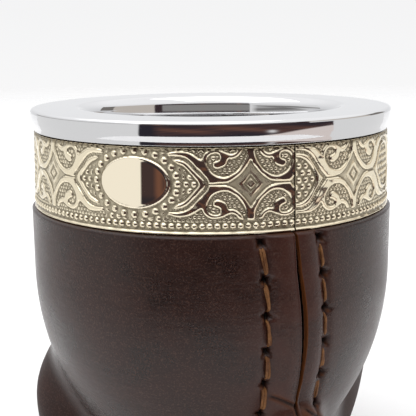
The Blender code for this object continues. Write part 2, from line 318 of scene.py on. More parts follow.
def lobe_rise(lobe, angle, z):
    """How far one lobe of the foot stands out from the waist."""
    direction, reach, level, curve, top_width, floor_width = lobe
    above = z - level * MM
    bend = np.where(above > 0.0, curve * MM, LOBE_LOWER_CURVE)
    excess = reach * MM - above ** 2 / (2.0 * bend) - waisted_radius(z)
    excess = 0.5 * (excess + np.sqrt(excess ** 2 + LOBE_BLEND ** 2))
    spread = np.clip((LOBE_TOP - z) / LOBE_SPREAD, 0.0, 1.0)
    width = top_width + (floor_width - top_width) * spread
    away = np.abs((angle - direction + 180.0) % 360.0 - 180.0)
    return excess * np.exp(-((away / width) ** LOBE_POWER))


def leather_radius(angle, z):
    """The cover without its seam."""
    rest = np.minimum(z / FLOOR_ROUNDING, 1.0)
    rounding = FLOOR_ROUNDING * (1.0 - np.sqrt(np.clip(1.0 - (1.0 - rest) ** 2, 0.0, 1.0)))
    return waisted_radius(z) + sum(lobe_rise(lobe, angle, z) for lobe in LOBES) - rounding


def hump(distance, width):
    """A smooth rise to 1 where the distance is 0."""
    return np.exp(-((distance / width) ** 2))


def curve_through(points, steps=5):
    """A smooth line through points, as a Catmull-Rom spline."""
    given = np.array(points)
    padded = np.concatenate([2.0 * given[:1] - given[1:2], given, 2.0 * given[-1:] - given[-2:-1]])
    line = []
    for i in range(len(given) - 1):
        a, b, c, d = padded[i:i + 4]
        for u in np.arange(steps) / steps:
            line.append(0.5 * (2.0 * b + (c - a) * u + (2.0 * a - 5.0 * b + 4.0 * c - d) * u * u
                               + (3.0 * b - a - 3.0 * c + d) * u ** 3))
    return np.array(line + [given[-1]])


def line_distance(x, y, line):
    """Distance to the nearest piece of a line, and the length along it to that place."""
    nearest = np.full(x.shape, 1e9)
    run = np.zeros(x.shape)
    start = 0.0
    for (ax, ay), (bx, by) in zip(line, line[1:]):
        length = math.hypot(bx - ax, by - ay)
        if length == 0.0:
            continue
        u = np.clip(((x - ax) * (bx - ax) + (y - ay) * (by - ay)) / length ** 2, 0.0, 1.0)
        away = np.hypot(x - ax - u * (bx - ax), y - ay - u * (by - ay))
        closer = away < nearest
        nearest = np.where(closer, away, nearest)
        run = np.where(closer, start + u * length, run)
        start += length
    return nearest, run


def foot_creases(share, z):
    """Relief in mm, rawness, and painted shade in the creases where the seam ends and the wet hide was
    pinched together.
    """
    along = share * strip_width(share, z)
    height = z / MM + 0.0 * along
    relief = np.zeros(along.shape)
    raw = np.zeros(along.shape)
    dark = np.zeros(along.shape)
    for line, width, depth in CREASES:
        crease = curve_through(np.array(line) * CREASE_SCALE)
        away, run = line_distance(along * MM_PER_DEGREE, height, crease)
        ends = np.clip(np.minimum(run, run.max() - run) / 1.5 + 0.25, 0.0, 1.0)
        relief += depth * (0.45 * hump(away, 2.6 * width) - hump(away, width)) * ends
        # Painted shade along the bottom of each crease.
        dark = np.maximum(dark, 0.9 * hump(away, 0.6 * width) * ends)
        raw = np.maximum(raw, 0.4 * hump(away - 1.6 * width, width) * ends)
    fan = np.hypot((along - 1.6) * MM_PER_DEGREE / 1.5, (height - 30.2) / 1.7)
    raw = np.maximum(raw, 0.55 * np.clip(1.6 - fan, 0.0, 1.0))
    return relief * MM, raw, dark


def seam_shape(share, z):
    """Height of the seam's relief, how raw the leather is there, and how much painted shade lies on it."""
    fade = np.clip((z - SEAM_LOW + STRIP_FADE) / STRIP_FADE, 0.0, 1.0)
    strip = np.where(share > 0.0, 0.4, 0.85) * STRIP_RISE * hump(np.abs(share) - 0.35, 0.42)
    valley = 0.7 * STITCH_VALLEY * hump(np.abs(share) - 1.0, 0.20)
    relief = (strip - valley) * fade
    across = share * np.radians(strip_width(share, z)) * BELLY_RADIUS
    height = np.clip((z - SEAM_LOW) / (SEAM_HIGH - SEAM_LOW), 0.0, 1.0)
    opening = (0.34 + 0.58 * np.sin(math.pi * height) ** 0.8) * MM
    left_lip = -SLIT_LIP - SLIT_DRIFT * np.clip((SEAM_HIGH - z) / SLIT_DRIFT_RUN, 0.0, 1.0)
    wall_foot = left_lip + opening
    wall_top = wall_foot + (0.35 + 0.45 * np.sin(math.pi * height)) * MM
    into_left = np.clip((across - left_lip) / (0.18 * MM), 0.0, 1.0)
    into_right = 1.0 - np.clip((across - wall_foot) / (wall_top - wall_foot), 0.0, 1.0)
    slit = np.clip((z - SEAM_LOW) / (1.5 * MM) + 0.8, 0.0, 1.0)
    relief -= SLIT_DEPTH * np.minimum(into_left, into_right) * slit
    relief += 0.14 * MM * hump(across - left_lip + 0.2 * MM, 0.16 * MM) * slit
    up_wall = np.clip((across - wall_foot) / (wall_top - wall_foot), 0.0, 1.3)
    raw = np.where((up_wall > 0.45) & (up_wall < 1.25), 1.0, 0.0) * slit
    # Painted shade down in the slit, below the raw upper part of its wall.
    dark = np.where((across > left_lip) & (up_wall <= 0.45), 1.0, 0.0) * slit
    if np.max(z) < CREASE_TOP:
        pinched, pinched_raw, pinched_shade = foot_creases(share, z)
        relief += pinched
        raw = np.maximum(raw, pinched_raw)
        dark = np.maximum(dark, pinched_shade)
    for side in (-1.0, 1.0):
        for i in range(STITCH_COUNT + 1):
            hole = FIRST_HOLE - STITCH_PITCH * i
            row = side * (1.03 + 0.02 * math.sin(5.0 * i + side))
            sideways = (share - row) * np.radians(strip_width(share, z)) * BELLY_RADIUS
            turn = np.arctan2(z - hole, sideways)
            away = np.hypot(sideways, (z - hole) * 0.9) * (1.0 + 0.28 * np.cos(4.0 * turn + 2.0 * i))
            near = np.where(np.sign(share) == side, 1.0, 0.0)
            relief -= near * HOLE_DEPTH * hump(away, HOLE_RADIUS)
            # Painted shade in each stitch hole.
            dark = np.maximum(dark, near * np.minimum(1.3 * hump(away, 0.75 * MM), 1.0))
            below = np.hypot(sideways - side * 0.65 * MM, z - hole + 0.8 * MM)
            raw = np.maximum(raw, near * 0.9 * hump(below, 0.42 * MM))
    return relief, raw, dark


def cover_columns():
    """Shares of the strips' width that the seam's columns stand at."""
    parts = [np.linspace(-2.2, -1.3, 10, endpoint=False), np.linspace(-1.3, -0.72, 26, endpoint=False),
             np.linspace(-0.72, -0.20, 18, endpoint=False), np.linspace(-0.20, 0.16, 46, endpoint=False),
             np.linspace(0.16, 0.75, 18, endpoint=False), np.linspace(0.75, 1.3, 26, endpoint=False),
             np.linspace(1.3, 2.2, 20)]
    return np.concatenate(parts)


def cover_angles(levels, shares, rest):
    """The angle of each column at each level: the seam's columns, then the rest of the way round."""
    z = levels[:, None]
    seam = seam_angle(z) + shares[None, :] * strip_width(shares[None, :], z)
    first, last = seam[:, -1:], seam[:, :1] + 360.0
    steps = np.arange(1, rest)[None, :] / rest
    return np.concatenate([seam, first + (last - first) * steps], axis=1)


def make_leather_mesh():
    """The cover, up its inside, over the top edge and down its outside to the floor."""
    shares = cover_columns()
    rest = 290
    fine = np.arange(LEATHER_TOP - 0.5 * MM, 23.0 * MM, -0.38 * MM)
    coarse = np.arange(fine[-1] - 0.7 * MM, 3.2 * MM, -0.7 * MM)
    foot = np.array([3.0, 2.3, 1.7, 1.1, 0.7, 0.4, 0.2, 0.08, 0.0]) * MM
    levels = np.concatenate([fine, coarse, foot])
    inner_z = BELLY_LEVEL - (BELLY_DEPTH - LEATHER_THICKNESS) * np.cos(np.radians(np.linspace(2, 90, 12)))
    all_shares = np.concatenate([shares, np.full(rest - 1, shares[-1])])
    everything = []
    raw_rows = []
    painted_shade_rows = []
    lobe_rows = []

    def add_row(z, radius, raw, dark, angles):
        everything.append(on_circle(angles, radius, z))
        rise = sum(lobe_rise(lobe, angles, z) for lobe in LOBES)
        lobe_rows.append(np.clip(rise / (3.0 * MM) - 0.2, 0.0, 1.0))
        raw_rows.append(np.broadcast_to(raw, angles.shape))
        painted_shade_rows.append(np.broadcast_to(dark, angles.shape))

    for z in inner_z:
        angles = cover_angles(np.array([z]), shares, rest)[0]
        add_row(z, belly_radius(z, LEATHER_THICKNESS), 1.0, 0.0, angles)
    angles = cover_angles(np.array([LEATHER_TOP]), shares, rest)[0]
    add_row(LEATHER_TOP, BELLY_RADIUS - LEATHER_THICKNESS, 1.0, 0.0, angles)
    relief, raw, dark = seam_shape(all_shares, LEATHER_TOP)
    add_row(LEATHER_TOP, leather_radius(angles, LEATHER_TOP) + relief - 0.5 * MM, 0.0, dark, angles)
    for z in levels:
        angles = cover_angles(np.array([z]), shares, rest)[0]
        relief, raw, dark = seam_shape(all_shares, z)
        add_row(z, leather_radius(angles, z) + relief, raw, dark, angles)
    add_row(0.0, WAIST_RADIUS * 0.3, 0.0, 0.0, angles)
    piece = loft("leather_cover_sewn", np.array(everything), True, False)
    right_strip = 0.9 * ((all_shares > 0.05) & (all_shares < 0.95))
    near_rows = [np.maximum(hump(all_shares, 1.6), right_strip)] * len(everything)
    # The hollow attribute carries the painted shade of the slit, the holes and the creases.
    for label, rows in (("raw_edge", raw_rows), ("hollow", painted_shade_rows), ("near_seam", near_rows),
                        ("on_lobe", lobe_rows)):
        values = np.array(rows).ravel()
        attribute = piece.data.attributes.new(label, "FLOAT", "POINT")
        attribute.data.foreach_set("value", values)
    return piece


def leather_material():
    """Dark oiled hide, warmer by the seam, matt on the lobes and lighter where it is cut, with painted
    shade in the slit, the holes and the creases, and painted sparkle specks.
    """
    material, tree, shader = new_material("oiled_brown_hide")
    grain = make(tree, "ShaderNodeGroup", node_tree=natural_grain)
    grain.inputs["Patch Scale"].default_value = 90.0
    grain.inputs["Pore Scale"].default_value = 2200.0
    raw = make(tree, "ShaderNodeAttribute", attribute_name="raw_edge").outputs["Fac"]
    # hollow: painted shade in the slit, the holes and the creases.
    hollow = make(tree, "ShaderNodeAttribute", attribute_name="hollow").outputs["Fac"]
    tone = remap(tree, grain.outputs["Patches"], 0.38, 0.62)
    hide = mix_colours(tree, tone, HIDE_BROWN, HIDE_RED)
    near_seam = make(tree, "ShaderNodeAttribute", attribute_name="near_seam").outputs["Fac"]
    warmth = make(tree, "ShaderNodeMath", {0: near_seam, 1: remap(tree, tone, 0.0, 1.0, 0.45, 1.0)},
                  operation="MULTIPLY").outputs[0]
    warm = mix_colours(tree, warmth, hide, HIDE_WARM)
    where = make(tree, "ShaderNodeTexCoord").outputs["Object"]
    fine = make(tree, "ShaderNodeTexNoise", {"Vector": where, "Scale": 2400.0, "Detail": 3.0,
                                             "Roughness": 0.7}).outputs["Fac"]
    # Light specks painted over the hide stand in for glints off its pores.
    hide_with_painted_sparkle = mix_colours(tree, remap(tree, fine, 0.53, 0.62, 0.0, 0.72), warm, HIDE_PAINTED_SPARKLE)
    edged = mix_colours(tree, raw, hide_with_painted_sparkle, HIDE_RAW)
    # Painted shade laid over the hide's colour.
    shaded = mix_colours(tree, hollow, edged, HIDE_PAINTED_SHADE)
    tree.links.new(shaded, shader.inputs["Base Color"])
    on_lobe = make(tree, "ShaderNodeAttribute", attribute_name="on_lobe").outputs["Fac"]
    matt = make(tree, "ShaderNodeMath", {0: raw, 1: hollow}, operation="MAXIMUM").outputs[0]
    for place, share in ((on_lobe, 0.75), (near_seam, 0.3)):
        worn = remap(tree, place, 0.0, 1.0, 0.0, share)
        matt = make(tree, "ShaderNodeMath", {0: matt, 1: worn}, operation="MAXIMUM").outputs[0]
    tree.links.new(remap(tree, matt, 0.0, 1.0, 0.38, 0.1), shader.inputs["Specular IOR Level"])
    gloss = remap(tree, grain.outputs["Patches"], 0.3, 0.7, 0.24, 0.34)
    dull = make(tree, "ShaderNodeMath", {0: remap(tree, on_lobe, 0.0, 1.0, 0.0, 0.5), 1: raw},
                operation="MAXIMUM").outputs[0]
    rough = make(tree, "ShaderNodeMath", {0: dull, 1: 0.5, 2: gloss}, operation="MULTIPLY_ADD")
    tree.links.new(rough.outputs[0], shader.inputs["Roughness"])
    flat = make(tree, "ShaderNodeMapping", {"Vector": where, "Scale": (1.0, 1.0, 5.0)}).outputs["Vector"]
    streaks = make(tree, "ShaderNodeTexNoise", {"Vector": flat, "Scale": 150.0,
                                                "Detail": 3.0}).outputs["Fac"]
    brushed = make(tree, "ShaderNodeBump", {"Height": streaks, "Strength": 0.28, "Distance": 0.25 * MM})
    pores = make(tree, "ShaderNodeBump", {"Height": fine, "Strength": 0.55, "Distance": 0.14 * MM,
                                          "Normal": brushed.outputs["Normal"]})
    tree.links.new(pores.outputs["Normal"], shader.inputs["Normal"])
    return material


leather = make_leather_mesh()
leather.data.materials.append(leather_material())
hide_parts("leather_cover")
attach(leather, "root")


# Ten runs of waxed tan thread lie in the valleys beside the strips, five on each side. Each run is
# two strands laid side by side with a slow twist, and its ends dive into the holes.
STITCH_LENGTH = 5.2 * MM
STRAND_RADIUS = 0.33 * MM
STRAND_SPREAD = 0.30 * MM
THREAD_LIFT = 0.55 * MM
RIGHT_THREAD_DROP = 0.55 * MM
THREAD_DIVE = 1.6 * MM
THREAD_TAN = (0.26, 0.118, 0.040)
THREAD_DARK = (0.11, 0.040, 0.013)


def strand(name, path, outward, radius, sides=10):
    """A round strand along a path of points."""
    along = np.gradient(path, axis=0)
    along /= np.linalg.norm(along, axis=1, keepdims=True)
    side = np.cross(along, outward)
    side /= np.linalg.norm(side, axis=1, keepdims=True)
    out = np.cross(side, along)
    turns = np.arange(sides) * 2.0 * math.pi / sides
    ring = side[:, None, :] * np.cos(turns)[None, :, None] + out[:, None, :] * np.sin(turns)[None, :, None]
    return loft(name, path[:, None, :] + ring * radius, True, False)


def thread_material():
    """Waxed thread, tan with darker worn places."""
    material, tree, shader = new_material("waxed_tan_thread")
    grain = make(tree, "ShaderNodeGroup", node_tree=natural_grain)
    grain.inputs["Patch Scale"].default_value = 500.0
    grain.inputs["Pore Scale"].default_value = 4000.0
    tone = remap(tree, grain.outputs["Patches"], 0.35, 0.65)
    tree.links.new(mix_colours(tree, tone, THREAD_TAN, THREAD_DARK), shader.inputs["Base Color"])
    shader.inputs["Roughness"].default_value = 0.6
    shader.inputs["Specular IOR Level"].default_value = 0.25
    bump = make(tree, "ShaderNodeBump", {"Height": grain.outputs["Pores"], "Strength": 0.4,
                                         "Distance": 0.1 * MM})
    tree.links.new(bump.outputs["Normal"], shader.inputs["Normal"])
    return material


def make_stitch(side, word, number, material):
    """One run of thread, standing for the stitch node of the same side and number."""
    inset = (STITCH_PITCH - STITCH_LENGTH) / 2.0
    upper = FIRST_HOLE - STITCH_PITCH * (number - 1) - inset + 0.5 * MM
    lower = upper - STITCH_LENGTH - 1.0 * MM
    share = np.linspace(0.0, 1.0, 22)
    z = upper + (lower - upper) * share
    slant = (share - 0.5) * 0.5 * MM
    angle = seam_angle(z) + side * strip_width(np.full(22, side), z)
    base = leather_radius(angle, z) - 0.7 * STITCH_VALLEY - (RIGHT_THREAD_DROP if side > 0.0 else 0.0)
    arch = 1.0 - np.abs(2.0 * share - 1.0) ** 6
    radius = base + THREAD_LIFT * arch - THREAD_DIVE * (1.0 - arch)
    outward = on_circle(angle, 1.0, 0.0 * z)
    across = on_circle(angle + 90.0, 1.0, 0.0 * z)
    twist = np.radians(-25.0 + 70.0 * share + 37.0 * number)
    middle = on_circle(angle, radius, z) + across * slant[:, None]
    strands = []
    for turn in (0.0, math.pi):
        lift = np.sin(twist + turn)[:, None] * outward + np.cos(twist + turn)[:, None] * across
        path = middle + lift * STRAND_SPREAD
        strands.append(strand("thread_%s_%d" % (word, number), path, outward, STRAND_RADIUS))
    with bpy.context.temp_override(active_object=strands[0], selected_editable_objects=strands):
        bpy.ops.object.join()
    strands[0].data.materials.append(material)
    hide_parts("stitch_%s_%d" % (word, number))
    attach(strands[0], "root")


thread = thread_material()
for side, word in ((-1.0, "left"), (1.0, "right")):
    for number in range(1, STITCH_COUNT + 1):
        make_stitch(side, word, number, thread)


# The band is a thin strip of champagne-coloured alloy, embossed with scrolls, stars and beads, then
# bent round and butted over the seam. The relief is one height over the flat strip: s runs along it
# in mm from the nearest star, and t runs up it from the ornament's middle.
BAND_TOP = 92.5 * MM
BAND_BOTTOM = 74.3 * MM
BAND_TOP_RADIUS = 43.95 * MM
BAND_BOTTOM_RADIUS = 44.45 * MM
BAND_INNER = 43.3 * MM
BAND_MIDDLE = 84.95 * MM
BAND_COLUMNS = 1180
BAND_ROWS = 80
RING_RADIUS_MM = 44.6
RELIEF = 0.38
STAR_LEVEL = 0.06
JOINT_ANGLE = -66.7
JOINT_GAP_DEGREES = 0.39
OVAL_ANGLE = -111.7
# In mm: the oval plate, the ring of beads round it, and the levels of the upper beads and the foot.
OVAL_LENGTH = 8.25
OVAL_HEIGHT = 5.55
OVAL_RING_LENGTH = 9.7
OVAL_RING_HEIGHT = 6.85
OVAL_BEAD_TURN = 2.0 * math.pi / 24.0
OVAL_BEAD_RADIUS = 0.76
UPPER_BEAD_ROW = 7.5
FOOT_LIP = -10.12
FOOT_START = -9.6
BEAD_FOOT = -9.7
STARS = tuple(-44.6 + 43.42 * k for k in range(7)) + (280.6,)
STAR_GROOVE = ((0.0, 4.8), (0.35, 4.15), (0.75, 3.6), (1.25, 2.95), (2.15, 2.0), (3.3, 1.0), (4.4, 0.38),
               (5.6, 0.08), (7.0, 0.0), (9.2, 0.0))
STAR_BODY = STAR_GROOVE[:8]
RING_EDGE = ((0.6, 8.2), (0.85, 7.2), (1.05, 5.9), (1.6, 4.6), (2.75, 3.05), (4.0, 2.1), (5.3, 1.6),
             (6.6, 1.7), (8.0, 2.4), (9.0, 3.8), (9.2, 5.0), (8.6, 6.0), (7.5, 6.35), (6.7, 6.1),
             (6.55, 5.4), (7.0, 5.0))
LEAF_EDGE = ((7.7, 4.75), (8.05, 4.3), (7.9, 3.6), (7.2, 3.15), (6.4, 3.3), (5.6, 3.7), (5.1, 4.2),
             (4.9, 4.8), (4.6, 5.2), (4.0, 5.15), (3.0, 5.5), (2.2, 6.2), (1.7, 7.0), (1.5, 8.2))
SCROLL_BORDER = ((-1.0, 7.8), (1.2, 7.75), (2.0, 7.6), (2.6, 7.45), (2.9, 7.0), (3.3, 6.6), (4.1, 6.35),
                 (5.0, 6.6), (6.2, 7.1), (7.4, 7.4), (8.6, 7.25), (9.8, 6.4), (10.4, 5.3))
LENS_BORDER = ((10.9, 5.9), (11.4, 6.3), (12.3, 6.8), (13.5, 7.1), (15.0, 7.15), (17.5, 7.0))
LENS_GROOVE = ((9.2, 0.0), (9.6, 0.4), (10.75, 1.6), (11.95, 3.3), (13.5, 5.2), (15.3, 6.0), (17.5, 6.1))
LENS_HOLLOW = ((11.75, 0.0), (11.85, 0.5), (12.2, 1.3), (13.0, 2.6), (14.4, 4.1), (16.2, 4.9),
               (17.5, 4.9))
WIDE_BORDER = ((11.0, 5.5), (11.5, 5.9), (12.3, 6.4), (13.5, 6.85), (15.3, 7.0), (17.0, 6.7), (18.2, 6.5))
WIDE_GROOVE = ((9.2, 0.0), (9.5, 0.9), (10.3, 1.8), (11.6, 3.1), (13.3, 4.8), (15.1, 5.45), (17.4, 5.5))
WIDE_HOLLOW = ((11.0, 0.0), (11.3, 0.6), (12.6, 2.1), (14.1, 3.6), (15.4, 4.2), (16.4, 4.9), (17.4, 5.9),
               (17.8, 7.0))
BEAD_ROW = -8.93
BEAD_PITCH = 1.63
BEAD_RADIUS = 0.66
CHAMPAGNE = (0.84, 0.75, 0.565)
CHAMPAGNE_GROUND = (0.52, 0.46, 0.33)
CHAMPAGNE_BRIGHT = (0.92, 0.83, 0.655)
# A dark tone for the grooves, also used as painted shade under the rim.
GROOVE_DARK_AND_SHADE = (0.13, 0.10, 0.055)


def outside_distance(x, y, outline):
    """Distance to a closed outline, negative inside it."""
    closed = np.concatenate([outline, outline[:1]])
    away = line_distance(x, y, closed)[0]
    inside = np.zeros(x.shape, bool)
    for (ax, ay), (bx, by) in zip(closed, closed[1:]):
        if ay == by:
            continue
        crosses = ((ay > y) != (by > y)) & (x < (bx - ax) * (y - ay) / (by - ay) + ax)
        inside ^= crosses
    return np.where(inside, -away, away)


def shoulder(distance, width=0.36):
    """How high a flat-topped ribbon is at a distance in from its edge."""
    share = np.clip(distance / width, 0.0, 1.0)
    return 1.0 - (1.0 - share) ** 2


def dome(distance, radius):
    """The height of half a ball, from 1 at its middle to 0 at its edge."""
    return np.sqrt(np.clip(1.0 - (distance / radius) ** 2, 0.0, 1.0))


def dot_grid(x, y, pitch):
    """Distance to the nearest dot of a triangular grid."""
    row_height = pitch * 0.866
    best = np.full(x.shape, 1e9)
    row = np.round(y / row_height)
    for step in (-1, 0, 1):
        line = row + step
        shift = np.where(line % 2 == 0, 0.0, pitch / 2.0)
        column = np.round((x - shift) / pitch) * pitch + shift
        best = np.minimum(best, np.hypot(x - column, y - line * row_height))
    return best


def scroll_relief(x, y, hollow, groove, border):
    """Plateaus of one quarter between a star and a lens, and the dots on its sunken grounds."""
    scroll = curve_through(RING_EDGE + LEAF_EDGE)
    edge = np.concatenate([curve_through(SCROLL_BORDER), curve_through(border),
                           [(border[-1][0], 14.0), (-1.0, 14.0)]])
    beyond = [(hollow[-1][0], 14.0), (40.0, 14.0)]
    if hollow is LENS_HOLLOW:
        beyond = [(40.0, hollow[-1][1])]
    lens = np.concatenate([curve_through(hollow), beyond, [(40.0, -3.0), (hollow[0][0], -3.0)]])
    from_scroll = outside_distance(x, y, scroll)
    from_edge = outside_distance(x, y, edge)
    from_lens = outside_distance(x, y, lens)
    from_star = line_distance(x, y, curve_through(STAR_GROOVE))[0]
    from_groove, run = line_distance(x, y, curve_through(groove))
    height = RELIEF * np.minimum.reduce([shoulder(from_scroll), shoulder(from_edge), shoulder(from_lens),
                                         shoulder(from_star - 0.05), shoulder(from_groove - 0.3)])
    star = np.concatenate([curve_through(STAR_BODY), [(5.6, -1.0), (-1.0, -1.0), (-1.0, 4.8)]])
    height = np.where(outside_distance(x, y, star) < -0.05, STAR_LEVEL * shoulder(from_star - 0.05), height)
    small = 0.24 * dome(dot_grid(x, y - 0.3, 1.0), 0.40) * shoulder(-from_scroll - 0.15, 0.2)
    border_dots = 0.24 * dome(dot_grid(x, y - 7.75, 0.95), 0.38) * shoulder(-from_edge - 0.1, 0.2)
    beads = 0.34 * dome(dot_grid(x - hollow[0][0] - 0.9, y, 1.72), 0.62) * shoulder(-from_lens - 0.3, 0.2)
    along = (run / 0.62) % 1.0 - 0.5
    groove_dots = 0.15 * dome(np.hypot(along * 0.62, from_groove), 0.27)
    eye = 0.22 * dome(np.hypot(x - 7.85, y - 5.45), 0.48)
    return np.maximum.reduce([height, small, border_dots, beads, groove_dots, eye])


def star_relief(x, y, height):
    """The diamond in the star: a raised frame, a sunken ring, and a small raised diamond."""
    size = x / 2.9 + y / 3.1
    frame_edge = STAR_LEVEL + 0.13 * shoulder((1.0 - size) * 2.1, 0.4)
    recess = 0.24 * shoulder((0.62 - size) * 2.1, 0.2) * shoulder((size - 0.38) * 2.1 + 0.1, 0.2)
    middle = 0.08 * shoulder((0.2 - size) * 2.1, 0.2)
    return np.where(size < 1.0, np.maximum(height, frame_edge) - recess - middle, height)


def band_relief(angle, t):
    """Height in mm over the ground of the strip."""
    away = angle[..., None] - np.array(STARS)
    nearest = np.argmin(np.abs(away), axis=-1)
    s = np.radians(np.take_along_axis(away, nearest[..., None], axis=-1)[..., 0]) * RING_RADIUS_MM
    x, y = np.abs(s), np.abs(t)
    wide = (angle > STARS[-2]) & (angle < STARS[-1])
    plain = scroll_relief(x, y, LENS_HOLLOW, LENS_GROOVE, LENS_BORDER)
    broad = scroll_relief(x, y, WIDE_HOLLOW, WIDE_GROOVE, WIDE_BORDER)
    height = star_relief(x, y, np.where(wide, broad, plain))
    from_oval = np.radians((angle - OVAL_ANGLE + 180.0) % 360.0 - 180.0) * RING_RADIUS_MM
    size = np.hypot(from_oval / OVAL_LENGTH, t / OVAL_HEIGHT)
    ring = np.hypot(from_oval / OVAL_RING_LENGTH, t / OVAL_RING_HEIGHT)
    turn = np.arctan2(t / OVAL_RING_HEIGHT, from_oval / OVAL_RING_LENGTH)
    bead = np.round(turn / OVAL_BEAD_TURN) * OVAL_BEAD_TURN
    bead_away = np.hypot(from_oval - OVAL_RING_LENGTH * np.cos(bead), t - OVAL_RING_HEIGHT * np.sin(bead))
    height = np.where(ring < 1.13, np.minimum(height, 0.0), height)
    height = np.maximum(height, 0.36 * dome(bead_away, OVAL_BEAD_RADIUS))
    plate = 0.30 * shoulder((1.0 - size) * 6.0, 0.3) + 0.09 * hump((1.0 - size) * 6.5 - 0.35, 0.22)
    height = np.where(size < 1.0, plate, height)
    along = np.radians(angle - JOINT_ANGLE) * RING_RADIUS_MM
    across = ((along / BEAD_PITCH) % 1.0 - 0.5) * BEAD_PITCH
    height = np.where(t < BEAD_ROW + 0.95, 0.0, height)
    height = np.maximum(height, 0.46 * dome(np.hypot(across, t - BEAD_ROW), BEAD_RADIUS))
    height = np.maximum(height, 0.34 * dome(np.hypot(across, t - UPPER_BEAD_ROW), BEAD_RADIUS))
    lip = 0.35 * shoulder(FOOT_LIP - t, 0.3)
    height = np.where(t < FOOT_START, np.maximum(height * (t > BEAD_FOOT), lip), height)
    return height + np.where(size < 1.0, 0.0, hammer_waves(along, t)), size < 1.0


def hammer_waves(along, t):
    """Slow unevenness that the die and the hand leave on a thin strip, in mm."""
    draw = np.random.default_rng(7)
    waves = np.zeros(along.shape)
    for i in range(14):
        length = draw.uniform(1.6, 4.5)
        way, phase = draw.uniform(0.0, math.pi), draw.uniform(0.0, 2.0 * math.pi)
        place = along * math.cos(way) + t * math.sin(way)
        waves += length * np.sin(place * 2.0 * math.pi / length + phase)
    return waves * 0.0042


def crevices(relief, reach):
    """How far each place lies below the average round it: the grooves and the feet of the ribbons."""
    mean = relief.copy()
    for axis in (0, 1):
        total = np.zeros(relief.shape)
        weights = 0.0
        for step in range(-2 * reach, 2 * reach + 1):
            weight = math.exp(-((step / reach) ** 2))
            total += weight * np.roll(mean, step, axis=axis)
            weights += weight
        mean = total / weights
    return np.clip((mean - relief) / 0.11, 0.0, 1.0)


def make_band_mesh():
    """The embossed strip from one side of its butt joint round to the other."""
    first = JOINT_ANGLE + JOINT_GAP_DEGREES / 2.0
    last = JOINT_ANGLE + 360.0 - JOINT_GAP_DEGREES / 2.0
    angle = np.linspace(first, last, BAND_COLUMNS)
    t = np.linspace((BAND_TOP - BAND_MIDDLE) / MM, (BAND_BOTTOM - BAND_MIDDLE) / MM, BAND_ROWS)
    angles, rows = np.meshgrid(angle, t)
    relief, plate = band_relief(angles, rows)
    z = BAND_MIDDLE + rows * MM
    fall = (BAND_TOP - z) / (BAND_TOP - BAND_BOTTOM)
    ground = BAND_TOP_RADIUS + (BAND_BOTTOM_RADIUS - BAND_TOP_RADIUS) * fall
    outer = on_circle(angles, ground + relief * MM, 0.0)
    outer[..., 2] = z
    inner_z = np.linspace(BAND_BOTTOM, BAND_TOP, 4)[:, None]
    inner = on_circle(angle[None, :], BAND_INNER + 0.0 * inner_z, inner_z)
    piece = loft("embossed_band", np.concatenate([outer, inner]), False, True)
    inside = np.zeros((4, BAND_COLUMNS))
    # Painted shade across the top rows of the band, where the rim's shadow falls.
    rim_shadow_paint = 0.95 * np.clip((rows - 6.5) / 0.7, 0.0, 1.0)
    groove_dark_rim_shadow = np.maximum(crevices(relief, 2), rim_shadow_paint)
    for label, values in (("groove_and_rim_shade", groove_dark_rim_shadow), ("polished", plate * 1.0), ("relief", relief)):
        attribute = piece.data.attributes.new(label, "FLOAT", "POINT")
        attribute.data.foreach_set("value", np.concatenate([values, inside]).ravel())
    return piece


def polish_group():
    """Hand polish: faint streaks and smudges that change the gloss a little."""
    group, start, end = new_group("hand_polish", [("Smudge Scale", 40.0), ("Low", 0.05), ("High", 0.12)],
                                  ["Gloss"])
    where = make(group, "ShaderNodeTexCoord").outputs["Object"]
    smudge = make(group, "ShaderNodeTexNoise", {"Vector": where, "Scale": start.outputs["Smudge Scale"],
                                                "Detail": 4.0})
    changed = make(group, "ShaderNodeMapRange", {"Value": smudge.outputs["Fac"], "From Min": 0.3,
                                                 "From Max": 0.7, "To Min": start.outputs["Low"],
                                                 "To Max": start.outputs["High"]})
    group.links.new(changed.outputs["Result"], end.inputs["Gloss"])
    return group


hand_polish = polish_group()


